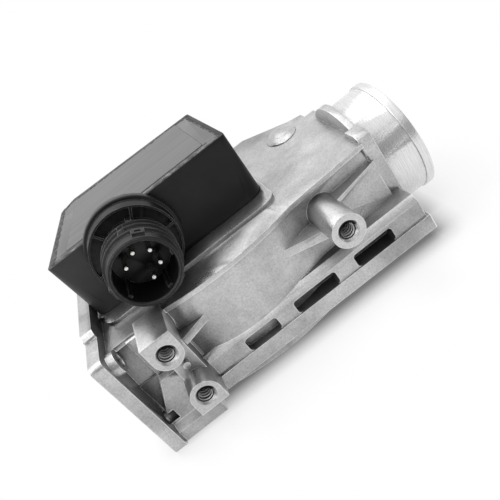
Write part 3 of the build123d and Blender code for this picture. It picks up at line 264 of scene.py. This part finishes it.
class Shader(Nodes):
    """The nodes of one material."""

    def __init__(self, name, **sockets):
        self.material = bpy.data.materials.new(name)
        self.material.use_nodes = True
        super().__init__(self.material.node_tree, "Object")
        self.main = self.tree.nodes["Principled BSDF"]
        for socket, value in sockets.items():
            self.main.inputs[socket.replace("_", " ")].default_value = value

    def noise(self, scale, detail=4.0, roughness=0.55, distortion=0.0, place=None):
        node = self.add("ShaderNodeTexNoise", {
            "Vector": self.place if place is None else place,
            "Scale": scale,
            "Detail": detail,
            "Roughness": roughness,
            "Distortion": distortion,
        })
        return node.outputs["Fac"]

    def stretched_noise(self, scale, stretch, detail=4.0):
        mapping = self.add("ShaderNodeMapping", {"Vector": self.place, "Scale": stretch})
        return self.noise(scale, detail, roughness=0.5, place=mapping.outputs["Vector"])

    def spots(self, scale, reach):
        node = self.add("ShaderNodeTexVoronoi", {"Vector": self.place, "Scale": scale})
        return self.ramp(node.outputs["Distance"], [(0.0, 1.0), (reach, 0.0)])

    def ramp(self, source, stops):
        """Piecewise linear change of a value; stops are pairs of a place and a grey or a colour."""
        node = self.add("ShaderNodeValToRGB", {"Fac": source})
        points = node.color_ramp.elements
        while len(points) < len(stops):
            points.new(0.5)
        for point, (place, value) in zip(points, stops):
            point.position = place
            shade = value if isinstance(value, tuple) else (value, value, value)
            point.color = (*shade, 1.0)
        return node.outputs["Color"]

    def mix(self, share, first, second, blend="MIX"):
        colours = [(*value, 1.0) if isinstance(value, tuple) else value for value in (first, second)]
        sockets = {0: share, 6: colours[0], 7: colours[1]}
        return self.add("ShaderNodeMix", sockets, data_type="RGBA", blend_type=blend).outputs[2]

    def darken(self, first, second, share=1.0):
        """First times second, at full strength or less."""
        return self.mix(share, first, second, "MULTIPLY")

    def hollow(self, reach, samples=6, only_local=True):
        """One in the open, falling to zero in corners and hollows."""
        node = self.add(
            "ShaderNodeAmbientOcclusion", {"Distance": reach}, samples=samples, only_local=only_local
        )
        return node.outputs["AO"]

    def edge(self, radius):
        """Near one along edges, zero on faces."""
        soft = self.add("ShaderNodeBevel", {"Radius": radius}, samples=4)
        geometry = self.add("ShaderNodeNewGeometry")
        match = self.work_out_vector("DOT_PRODUCT", soft.outputs["Normal"], geometry.outputs["Normal"])
        return self.ramp(match.outputs["Value"], [(0.88, 1.0), (0.992, 0.0)])

    def worked_faces(self):
        """One on the turned outlet tube, less on the milled boss faces and inlet face, zero elsewhere."""
        along = self.coordinate("X")
        tube = self.work_out("GREATER_THAN", along, TUBE_START_X)
        bosses = self.work_out("LESS_THAN", self.coordinate("Y"), BOSS_FACE_Y)
        inlet = self.work_out("LESS_THAN", along, INLET_FACE_X)
        share = self.work_out("MAXIMUM", tube, self.weaken(bosses, BOSS_FACE_SHARE))
        return self.work_out("MAXIMUM", share, self.weaken(inlet, INLET_FACE_SHARE))

    def distance_from_box(self, middle, half):
        """Distance from an upright box, which is zero inside it."""
        offset = self.work_out_vector("SUBTRACT", self.place, middle).outputs["Vector"]
        aside = self.work_out_vector("ABSOLUTE", offset).outputs["Vector"]
        past = self.work_out_vector("SUBTRACT", aside, half).outputs["Vector"]
        outside = self.work_out_vector("MAXIMUM", past, (0.0, 0.0, 0.0)).outputs["Vector"]
        return self.work_out_vector("LENGTH", outside).outputs["Value"]

    def bump(self, height, strength, distance):
        node = self.add("ShaderNodeBump", {"Strength": strength, "Distance": distance, "Height": height})
        self.join(node.outputs["Normal"], self.main.inputs["Normal"])

    def colour(self, source):
        self.join(source, self.main.inputs["Base Color"])

    def roughness(self, source):
        self.join(source, self.main.inputs["Roughness"])


def cast_alloy():
    """Fine grained die cast skin with stains, painted shade in hollows and seams, rubbed edges with painted
    highlights, and turned or milled faces.
    """
    look = Shader("cast_alloy", Metallic=0.85)
    broad = look.ramp(
        look.noise(scale=24, detail=5, roughness=0.55, distortion=0.6),
        [(0.30, 0.34), (0.44, 0.49), (0.56, 0.58), (0.72, 0.70)],
    )
    cloud = look.ramp(
        look.noise(scale=110, detail=3, roughness=0.5, distortion=0.8),
        [(0.3, 0.88), (0.5, 0.97), (0.7, 1.04)],
    )
    grain = look.ramp(
        look.noise(scale=1200, detail=3, roughness=0.8),
        [(0.25, 0.66), (0.5, 0.97), (0.75, 1.16)],
    )
    skin = look.darken(look.darken(broad, cloud), grain)
    streaks = look.stretched_noise(scale=150, stretch=(0.25, 1.0, 2.2), detail=5)
    skin = look.mix(look.ramp(streaks, [(0.58, 0.0), (0.72, 0.35)]), skin, STREAK_GREY)
    worked = look.worked_faces()
    tool_lines = look.stretched_noise(scale=420, stretch=(5.0, 0.3, 0.3), detail=2)
    skin = look.mix(worked, skin, look.ramp(tool_lines, [(0.3, 0.74), (0.7, 0.86)]))
    # Painted shade: the colour is darkened in hollows and, finer, in seams.
    painted_hollow_shade = look.ramp(look.hollow(HOLLOW_SHADE_REACH), [(0.20, 0.18), (0.52, 0.60), (0.90, 1.0)])
    skin = look.darken(skin, painted_hollow_shade, share=0.92)
    painted_seam_shade = look.ramp(look.hollow(SEAM_SHADE_REACH), [(0.35, 0.22), (0.85, 1.0)])
    skin = look.darken(skin, painted_seam_shade, share=0.9)
    pits = look.spots(scale=380, reach=0.09)
    skin = look.mix(look.weaken(pits, 0.45), skin, PIT_GREY)
    # Rubbed edges, lightened as well as painted highlights along edges and fillets.
    patches = look.ramp(look.noise(scale=260, detail=3), [(0.35, 0.45), (0.6, 1.0)])
    rubbed_and_highlit = look.work_out("MULTIPLY", look.edge(ALLOY_RUB_AND_HIGHLIGHT), patches)
    look.colour(look.mix(look.weaken(rubbed_and_highlit, 0.95), skin, RUBBED_AND_HIGHLIT_ALLOY))
    rough = look.ramp(look.noise(scale=70), [(0.3, 0.26), (0.7, 0.38)])
    look.roughness(look.mix(worked, rough, WORKED_ROUGHNESS))
    height = look.mix(0.45, look.noise(scale=1300, detail=2), look.noise(scale=140))
    look.bump(height, strength=0.5, distance=0.28 * MM)
    return look.material


def machined_alloy():
    """Turned and milled surfaces: brighter, with fine tool lines."""
    look = Shader("machined_alloy", Metallic=0.9)
    tool_lines = look.stretched_noise(scale=500, stretch=(6.0, 0.15, 0.15), detail=2)
    look.colour(look.ramp(tool_lines, [(0.3, 0.62), (0.7, 0.80)]))
    look.roughness(look.ramp(tool_lines, [(0.3, 0.22), (0.7, 0.34)]))
    look.bump(tool_lines, strength=0.12, distance=0.05 * MM)
    return look.material


def moulded_black():
    """Satin black plastic with flow marks, a lighter film of dust and painted sheen, and grey edges that
    are rubbed and carry painted highlights.
    """
    look = Shader("moulded_black", IOR=1.45, Specular_IOR_Level=0.35)
    flow = look.noise(scale=22, roughness=0.6, distortion=0.6)
    specks = look.weaken(look.spots(scale=700, reach=0.06), 0.10)
    skin = look.mix(specks, look.ramp(flow, [(0.35, 0.006), (0.7, 0.014)]), SPECK_GREY)
    # Lighter film towards the inlet end: dust, and painted sheen.
    dust_and_sheen = look.smooth_rise(look.coordinate("X"), DUST_AND_SHEEN_TO_X, 0.0)
    patches = look.ramp(look.noise(scale=45, roughness=0.6, distortion=0.5), [(0.3, 0.55), (0.7, 0.95)])
    skin = look.mix(look.work_out("MULTIPLY", dust_and_sheen, patches), skin, DUST_AND_SHEEN_GREY)
    # Grey edges: rubbed, and painted highlights.
    rubbed_and_highlit = look.weaken(look.edge(PLASTIC_RUB_AND_HIGHLIGHT), 0.30)
    look.colour(look.mix(rubbed_and_highlit, skin, RUBBED_AND_HIGHLIT_PLASTIC))
    look.roughness(look.ramp(look.noise(scale=40), [(0.3, 0.36), (0.7, 0.52)]))
    look.bump(look.noise(scale=1600, detail=2), strength=0.15, distance=0.08 * MM)
    return look.material


def plug_black():
    """Satin black of the plug, with its ridges worn grey and lightened as painted highlights."""
    look = Shader("plug_black", IOR=1.45, Specular_IOR_Level=0.4)
    flow = look.noise(scale=40, roughness=0.6, distortion=0.6)
    # Grey ridges: worn, and painted highlights.
    patches = look.ramp(look.noise(scale=350, roughness=0.7), [(0.35, 0.35), (0.6, 1.0)])
    worn_and_highlit = look.work_out("MULTIPLY", look.edge(PLASTIC_RUB_AND_HIGHLIGHT), patches)
    look.colour(look.mix(worn_and_highlit, look.ramp(flow, [(0.35, 0.005), (0.7, 0.013)]), WORN_AND_HIGHLIT_RIDGE))
    look.roughness(look.ramp(look.noise(scale=60), [(0.3, 0.30), (0.7, 0.46)]))
    look.bump(look.noise(scale=1500, detail=2), strength=0.12, distance=0.06 * MM)
    return look.material


def dusty_paste():
    """Dried paste that dust has stuck to."""
    look = Shader("dusty_paste", IOR=1.5)
    lumps = look.stretched_noise(scale=520, stretch=(0.5, 1.0, 1.0), detail=5)
    look.colour(look.ramp(lumps, [(0.34, 0.03), (0.46, 0.08), (0.56, 0.14), (0.68, 0.28)]))
    look.roughness(look.ramp(look.noise(scale=300, detail=3), [(0.3, 0.45), (0.7, 0.8)]))
    look.bump(look.noise(scale=1100), strength=0.7, distance=0.4 * MM)
    return look.material


def lid_grey():
    """Grey lid sheet, lightly scuffed, with painted shade darkening it down in its slot."""
    look = Shader("lid_grey", IOR=1.5)
    broad = look.ramp(
        look.noise(scale=18, detail=5, roughness=0.55, distortion=0.8),
        [(0.3, 0.13), (0.7, 0.175)],
    )
    scuffs = look.stretched_noise(scale=120, stretch=(0.2, 3.0, 1.0), detail=5)
    skin = look.mix(look.ramp(scuffs, [(0.62, 0.0), (0.72, 0.35)]), broad, SCUFF_GREY)
    # Painted shade: the colour falls near black down in the slot.
    slot = look.ramp(look.hollow(SLOT_SHADE_REACH), [(0.35, 0.02), (0.85, 1.0)])
    look.colour(look.darken(skin, slot))
    look.roughness(look.ramp(look.noise(scale=50), [(0.3, 0.42), (0.7, 0.58)]))
    look.bump(look.noise(scale=1100, detail=3), strength=0.18, distance=0.08 * MM)
    return look.material


def black_sealant():
    """Lumpy, half cured sealing paste."""
    look = Shader("black_sealant", IOR=1.5)
    lumps = look.noise(scale=420, detail=5, roughness=0.7)
    look.colour(look.ramp(lumps, [(0.35, 0.012), (0.55, 0.04), (0.68, 0.16)]))
    look.roughness(look.ramp(look.noise(scale=300, detail=3), [(0.3, 0.35), (0.7, 0.7)]))
    look.bump(look.noise(scale=900), strength=0.8, distance=0.5 * MM)
    return look.material


def bright_metal(name, shade, rough, scale):
    """Plated or turned small metal parts."""
    look = Shader(name, Metallic=1.0)
    darker = tuple(0.82 * part for part in shade)
    look.colour(look.ramp(look.noise(scale), [(0.3, darker), (0.7, shade)]))
    smoother, rougher = rough * 0.75, rough * 1.25
    look.roughness(look.ramp(look.noise(scale * 2, detail=3), [(0.3, smoother), (0.7, rougher)]))
    look.bump(look.noise(scale * 4, detail=2), strength=0.1, distance=0.05 * MM)
    return look.material


def inner_plastic(name, shade):
    """Plain moulded parts under the cover."""
    look = Shader(name, IOR=1.5)
    darker = tuple(0.8 * part for part in shade)
    look.colour(look.ramp(look.noise(scale=60, detail=3), [(0.3, darker), (0.7, shade)]))
    look.roughness(look.ramp(look.noise(scale=90, detail=3), [(0.3, 0.40), (0.7, 0.55)]))
    look.bump(look.noise(scale=1200, detail=2), strength=0.12, distance=0.06 * MM)
    return look.material


def thread_alloy():
    """Cut thread: painted shade darkens the grooves and painted highlights brighten the crests."""
    look = Shader("thread_alloy", Metallic=0.5)
    height = look.add("ShaderNodeAttribute", attribute_name="crest").outputs["Fac"]
    # Painted shade in the grooves and painted highlights on the crests.
    skin = look.ramp(height, [(0.0, 0.003), (0.50, 0.01), (0.70, 0.60), (0.9, 1.0)])
    wear = look.ramp(look.noise(scale=220, detail=2), [(0.3, 0.75), (0.65, 1.0)])
    look.colour(look.darken(skin, wear))
    look.roughness(look.ramp(look.noise(scale=900, detail=3), [(0.3, 0.26), (0.7, 0.36)]))
    return look.material


def label_grey():
    """Bare label: smooth satin sheet with faint streaks."""
    look = Shader("label_grey", IOR=1.5)
    streaks = look.stretched_noise(scale=90, stretch=(0.15, 2.5, 1.0))
    broad = look.ramp(
        look.noise(scale=14, roughness=0.5, distortion=0.5),
        [(0.3, 0.118), (0.7, 0.136)],
    )
    look.colour(look.mix(look.ramp(streaks, [(0.55, 0.0), (0.75, 0.22)]), broad, LABEL_STREAK))
    look.roughness(look.ramp(streaks, [(0.3, 0.34), (0.7, 0.46)]))
    look.bump(look.noise(scale=700, detail=2), strength=0.06, distance=0.04 * MM)
    return look.material


def ground_paper():
    """Pale paper with painted contact shadow right under the part, that looks white away from it."""
    look = Shader("ground_paper", Roughness=0.95, Specular_IOR_Level=0.1)
    paper = look.ramp(look.noise(scale=3, detail=2), [(0.3, 0.90), (0.7, 0.92)])
    # Painted contact shadow: the paper's colour darkens close to the part.
    contact = look.hollow(CONTACT_SHADOW_REACH, samples=12, only_local=False)
    painted_contact_shadow = look.ramp(contact, [(0.45, 0.22), (0.75, 0.62), (0.97, 1.0)])
    look.colour(look.darken(paper, painted_contact_shadow))
    distance = look.distance_from_box((SHADOW_MIDDLE.x, SHADOW_MIDDLE.y, FLOOR_Z), SHADOW_HALF)
    away = look.ramp(
        look.work_out("DIVIDE", distance, WHITE_BY),
        [(0.0, 0.0), (0.08, 0.3), (0.22, 0.78), (1.0, 1.0)],
    )
    seen = look.rays("Is Camera Ray", "Is Glossy Ray", "Is Transmission Ray")
    mirrored = look.rays("Is Glossy Ray", "Is Transmission Ray")
    seen_white = look.work_out("MULTIPLY", seen, away)
    mirrored_white = look.weaken(mirrored, MIRRORED_WHITE)
    glow = look.add("ShaderNodeEmission", {"Strength": look.weaken(seen, FLOOR_GLOW)})
    lifted = look.add("ShaderNodeAddShader", {0: look.main.outputs[0], 1: glow.outputs[0]})
    white = look.add("ShaderNodeEmission")
    surface = look.add("ShaderNodeMixShader", {
        0: look.work_out("MAXIMUM", seen_white, mirrored_white),
        1: lifted.outputs[0],
        2: white.outputs[0],
    })
    look.join(surface.outputs[0], look.tree.nodes["Material Output"].inputs["Surface"])
    return look.material


ALLOY = cast_alloy()
THREAD = thread_alloy()
LABEL = label_grey()
MACHINED = machined_alloy()
BLACK = moulded_black()
LID = lid_grey()
SEALANT = black_sealant()
DUSTY = dusty_paste()
PLUG = plug_black()
TIN = bright_metal("tinned_pins", (0.80, 0.79, 0.76), rough=0.25, scale=300)
STEEL = bright_metal("plain_steel", (0.55, 0.55, 0.56), rough=0.32, scale=200)
BRONZE = bright_metal("sintered_bronze", (0.50, 0.36, 0.20), rough=0.45, scale=400)
SPRING = bright_metal("spring_steel", (0.42, 0.43, 0.45), rough=0.28, scale=250)
WHEEL = inner_plastic("wheel_black", (0.030, 0.030, 0.032))
BOARD = inner_plastic("board_ceramic", (0.62, 0.60, 0.55))
STRIP = inner_plastic("strip_plastic", (0.045, 0.045, 0.05))

FINISHES = {
    "housing": ALLOY,
    "cover": BLACK,
    "cover_panel": LID,
    "panel_sealant": SEALANT,
    "plug_shell": PLUG,
    "plug_pins": TIN,
    "shaft": STEEL,
    "flap": MACHINED,
    "lower_bearing": BRONZE,
    "upper_bearing": BRONZE,
    "lower_plug": MACHINED,
    "tension_wheel": WHEEL,
    "return_spring": SPRING,
    "spring_collet": STEEL,
    "wheel_clip": STEEL,
    "track_board": BOARD,
    "board_screws": STEEL,
    "wiper_arm": STRIP,
    "wiper_fingers": TIN,
    "counterweight": MACHINED,
    "retaining_ring": STEEL,
    "terminal_strip": STRIP,
    "air_sensor": BLACK,
}


def dress(name, edge_width):
    """Gives a carried node its finish and, where asked, softly rounded edges."""
    piece = nodes[name]
    piece.data.materials.clear()
    piece.data.materials.append(FINISHES[name])
    weld = piece.modifiers.new("weld", "WELD")
    weld.merge_threshold = WELD_REACH
    for polygon in piece.data.polygons:
        polygon.use_smooth = True
    if edge_width:
        bevel = piece.modifiers.new("round", "BEVEL")
        bevel.width = edge_width
        bevel.segments = EDGE_SEGMENTS
        bevel.limit_method = "ANGLE"
        bevel.angle_limit = SHARP_ANGLE
        bevel.harden_normals = True
        bevel.use_clamp_overlap = True
    else:
        piece.data.set_sharp_from_angle(angle=SHARP_ANGLE)


def mesh_piece(name, points, faces, finish, smooth=True):
    """Adds a piece made here to the meter's body."""
    mesh = bpy.data.meshes.new(name)
    mesh.from_pydata([Vector(point) * MM for point in points], [], faces)
    mesh.validate()
    shape = bmesh.new()
    shape.from_mesh(mesh)
    bmesh.ops.recalc_face_normals(shape, faces=shape.faces)
    shape.to_mesh(mesh)
    shape.free()
    for polygon in mesh.polygons:
        polygon.use_smooth = smooth
    mesh.materials.append(finish)
    piece = bpy.data.objects.new(name, mesh)
    bpy.context.scene.collection.objects.link(piece)
    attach(piece, "meter")
    return piece


def wrap(rings, closed=False):
    """Points and faces of a skin over rings that have equally many points. The first two faces cap
    its ends, unless it closes on itself."""
    count = len(rings[0])
    points = [point for ring in rings for point in ring]
    spans = len(rings) if closed else len(rings) - 1
    faces = [] if closed else [tuple(reversed(range(count))), tuple(range(spans * count, len(points)))]
    for ring in range(spans):
        low = ring * count
        high = (ring + 1) % len(rings) * count
        for index in range(count):
            after = (index + 1) % count
            faces.append((low + index, low + after, high + after, high + index))
    return points, faces


def rounded_outline(corners, radius, steps=6):
    """Corners of an outline, each replaced by a short arc."""
    outline = []
    for index, corner in enumerate(corners):
        here = Vector(corner)
        back = (Vector(corners[index - 1]) - here).normalized()
        ahead = (Vector(corners[(index + 1) % len(corners)]) - here).normalized()
        half = back.angle(ahead) / 2
        middle = here + (back + ahead).normalized() * (radius / math.sin(half))
        first = here + back * (radius / math.tan(half)) - middle
        last = here + ahead * (radius / math.tan(half)) - middle
        sweep = first.angle_signed(last)
        for step in range(steps + 1):
            spoke = first.copy()
            spoke.rotate(Matrix.Rotation(-sweep * step / steps, 2))
            outline.append(middle + spoke)
    return outline


def level_ring(outline, z):
    return [(point.x, point.y, z) for point in outline]


def thread(name, x, z):
    """Screw thread of one bore: a ridge that winds inwards from the countersink."""
    root = BORE_RADIUS + THREAD_ROOT
    rings = []
    for index in range(THREAD_TURNS * THREAD_STEPS + 1):
        turn = 2 * math.pi * index / THREAD_STEPS
        y = THREAD_START_Y + THREAD_PITCH * index / THREAD_STEPS
        start = min(1.0, index / THREAD_STEPS)
        crest = root - (THREAD_DEPTH + THREAD_ROOT) * start
        profile = [
            (root, -THREAD_FOOT_SHARE), (crest, -THREAD_CREST_SHARE),
            (crest, THREAD_CREST_SHARE), (root, THREAD_FOOT_SHARE),
        ]
        rings.append([
            (x + radius * math.cos(turn), y + share * THREAD_PITCH, z + radius * math.sin(turn))
            for radius, share in profile
        ])
    points, faces = wrap(rings)
    piece = mesh_piece(name, points, faces, THREAD)
    # The crest mark tells the thread material where to paint highlights; the grooves get painted shade.
    height = piece.data.attributes.new("crest", "FLOAT", "POINT")
    for index in range(len(points)):
        height.data[index].value = 1.0 if index % len(rings[0]) in (1, 2) else 0.0


def label_plate():
    """Thin bare plate on the lid, grey on its top and black on its rim as painted shadow of the gap round
    it.
    """
    inner_corners = []
    for corner in LABEL_CORNERS:
        inwards = (LABEL_MIDDLE - Vector(corner)).normalized()
        inner_corners.append(tuple(Vector(corner) + inwards * LABEL_BEVEL))
    outline = rounded_outline(LABEL_CORNERS, LABEL_CORNER_RADIUS)
    points, faces = wrap([
        level_ring(outline, LID_TOP_Z - LID_SINK),
        level_ring(outline, LID_TOP_Z + LABEL_THICKNESS * LABEL_BEVEL_FROM),
        level_ring(rounded_outline(inner_corners, LABEL_CORNER_RADIUS), LID_TOP_Z + LABEL_THICKNESS),
    ])
    plate = mesh_piece("label_plate", points, faces, LABEL, smooth=False)
    # The rim's black is painted shadow of the gap round the label.
    plate.data.materials.append(SEALANT)
    for polygon in plate.data.polygons:
        if len(polygon.vertices) == 4:
            polygon.material_index = 1


def paste_bead():
    """Uneven bead of paste along the gap round the lid."""
    spine = []
    widths = []
    corners = rounded_outline(GAP_CORNERS, GAP_CORNER_RADIUS, GAP_CORNER_STEPS)
    for index, here in enumerate(corners):
        there = corners[(index + 1) % len(corners)]
        steps = max(1, round((there - here).length / PASTE_STEP))
        for step in range(steps):
            spine.append(here.lerp(there, step / steps))
            widths.append(PASTE_WIDTHS[index // (GAP_CORNER_STEPS + 1)])
    wave_fineness, wave_height = PASTE_WAVE
    rings = []
    for index, here in enumerate(spine):
        along = (spine[(index + 1) % len(spine)] - spine[index - 1]).normalized()
        side = Vector((-along.y, along.x))
        ring = []
        for step in range(PASTE_AROUND):
            turn = 2 * math.pi * step / PASTE_AROUND
            spot = Vector((here.x, here.y, PASTE_NOISE_REACH * math.cos(turn)))
            lump = sum(noise.noise(spot * fineness) * height for fineness, height in PASTE_LUMPS)
            radius = PASTE_RADIUS * (1.0 + lump)
            out = here + side * max(-PASTE_OUTER_REACH, radius * math.cos(turn) * widths[index])
            wave = wave_height * noise.noise(spot * wave_fineness)
            lift = radius * math.sin(turn) * PASTE_FLATNESS + wave
            ring.append((out.x, out.y, LID_TOP_Z - PASTE_SINK + lift))
        rings.append(ring)
    mesh_piece("paste_bead", *wrap(rings, closed=True), SEALANT)


def wave_at(x, wave, lane):
    """Slow uneven wave along x. Each lane has a wave of its own."""
    fineness, height = wave
    return height * noise.noise(Vector((x * fineness, lane, 0.0)))


def dusty_strip():
    """Uneven flat strip of dusty paste along the front edge, falling towards the slot behind it."""
    start, end = STRIP_ENDS
    steps = round((end - start) / PASTE_STEP)
    rings = []
    for index in range(steps + 1):
        x = start + (end - start) * index / steps
        fade = min(1.0, STRIP_END_HEIGHT + STRIP_END_RISE * min(index, steps - index) / steps)
        front = STRIP_FRONT_Y + wave_at(x, STRIP_FRONT_WAVE, lane=1.0)
        back = STRIP_BACK_Y + wave_at(x, STRIP_BACK_WAVE, lane=5.0)
        ring = []
        for row, (share, rise) in enumerate(STRIP_ROWS):
            y = front + (back - front) * share
            spot = Vector((x * STRIP_LUMP_FINENESS[0], y * STRIP_LUMP_FINENESS[1], STRIP_ROWS_APART * row))
            lump = 1.0 + STRIP_LUMP_HEIGHT * noise.noise(spot)
            ring.append((x, y, LID_TOP_Z + STRIP_HEIGHT * rise * lump * fade))
        rings.append(ring)
    mesh_piece("dusty_strip", *wrap(rings), DUSTY)


def slot_shadow_sheet():
    """Black sheet on the floor of the slot between the strip and the label: painted shadow."""
    (left, right), (front, back) = SLOT_ENDS, SLOT_SIDES
    corners = [(left, front), (right, front), (right, back), (left, back)]
    outline = rounded_outline(corners, SLOT_CORNER_RADIUS)
    points, faces = wrap([
        level_ring(outline, LID_TOP_Z - LID_SINK),
        level_ring(outline, LID_TOP_Z + SLOT_SHADOW_LIFT),
    ])
    mesh_piece("slot_shadow_sheet", points, faces, BLACK, smooth=False)


def dome():
    """Low smooth dome that grows out of the top plate with a soft foot."""
    rings = []
    for index in range(DOME_RINGS):
        out = 1.0 - index / DOME_RINGS
        z = DOME_BASE_Z + DOME_HEIGHT * (1.0 - out * out) ** DOME_FULLNESS
        ring = []
        for step in range(DOME_STEPS):
            turn = 2 * math.pi * step / DOME_STEPS
            x = DOME_CENTRE[0] + DOME_SIZE[0] / 2 * out * math.cos(turn)
            y = DOME_CENTRE[1] + DOME_SIZE[1] / 2 * out * math.sin(turn)
            ring.append((x, y, z))
        rings.append(ring)
    points, faces = wrap(rings)
    rim = faces.pop(1)
    top = len(points)
    points.append((*DOME_CENTRE, DOME_BASE_Z + DOME_HEIGHT))
    for first, second in zip(rim, rim[1:] + rim[:1]):
        faces.append((first, second, top))
    mesh_piece("top_dome", points, faces, ALLOY)


def floor():
    """Level ground under the part."""
    mesh = bpy.data.meshes.new("ground")
    half = FLOOR_SIZE / 2
    corners = [(-half, -half), (half, -half), (half, half), (-half, half)]
    mesh.from_pydata([(x, y, FLOOR_Z) for x, y in corners], [], [(0, 1, 2, 3)])
    mesh.materials.append(ground_paper())
    ground = bpy.data.objects.new("ground", mesh)
    bpy.context.scene.collection.objects.link(ground)


def world():
    """Even soft light. It looks plain white, and darker in reflections that come from low in front."""
    sky = bpy.data.worlds.new("surround")
    bpy.context.scene.world = sky
    sky.use_nodes = True
    sky.node_tree.nodes.clear()
    air = Nodes(sky.node_tree, "Generated")
    front = air.smooth_rise(air.coordinate("Y"), FRONT_FROM_Y, FRONT_TO_Y)
    low = air.smooth_rise(air.coordinate("Z"), LOW_FROM_Z, LOW_TO_Z)
    low_front = air.work_out("MULTIPLY", front, low)
    darker = air.work_out("MULTIPLY", low_front, air.rays("Is Glossy Ray"))
    level = air.add("ShaderNodeMapRange", {"Value": darker, "To Min": 1.0, "To Max": FRONT_LEVEL})
    light = air.add("ShaderNodeBackground", {"Color": SURROUND_COLOUR, "Strength": SURROUND_LEVEL})
    white = air.add("ShaderNodeBackground", {"Color": SURROUND_COLOUR, "Strength": level.outputs["Result"]})
    surface = air.add("ShaderNodeMixShader", {
        0: air.rays("Is Camera Ray", "Is Glossy Ray", "Is Transmission Ray"),
        1: light.outputs[0],
        2: white.outputs[0],
    })
    air.add("ShaderNodeOutputWorld", {"Surface": surface.outputs[0]})


def soft_box(name, place, size, watts, mirrored):
    """Square edged lamp that points at the part."""
    data = bpy.data.lights.new(name, "AREA")
    data.shape = "RECTANGLE"
    data.size, data.size_y = size
    data.energy = watts
    lamp = bpy.data.objects.new(name, data)
    lamp.location = place
    lamp.rotation_mode = "QUATERNION"
    lamp.rotation_quaternion = (Vector(LAMP_AIM) - Vector(place)).to_track_quat("-Z", "Y")
    lamp.visible_glossy = mirrored
    bpy.context.scene.collection.objects.link(lamp)


def camera():
    """Camera at the photograph's place, turned about its own axis."""
    data = bpy.data.cameras.new("camera")
    data.sensor_width = SENSOR_WIDTH
    data.lens = FOCAL_PIXELS / PICTURE_PIXELS * SENSOR_WIDTH
    data.clip_start = CAMERA_NEAREST
    data.clip_end = CAMERA_FARTHEST
    eye = bpy.data.objects.new("camera", data)
    eye.location = CAMERA_PLACE
    eye.rotation_mode = "QUATERNION"
    turn = (CAMERA_AIM - CAMERA_PLACE).to_track_quat("-Z", "Y")
    eye.rotation_quaternion = turn @ Matrix.Rotation(CAMERA_ROLL, 3, "Z").to_quaternion()
    bpy.context.scene.collection.objects.link(eye)
    bpy.context.scene.camera = eye


for node_name in FINISHES:
    dress(node_name, EDGE_WIDTHS.get(node_name, 0.0))
for number, (bore_x, bore_z) in enumerate(BORES, 1):
    thread(f"thread_{number}", bore_x, bore_z)
label_plate()
paste_bead()
dusty_strip()
slot_shadow_sheet()
dome()
floor()
world()
for lamp_settings in LAMPS:
    soft_box(*lamp_settings)
camera()
bpy.context.scene.view_settings.view_transform = "Standard"
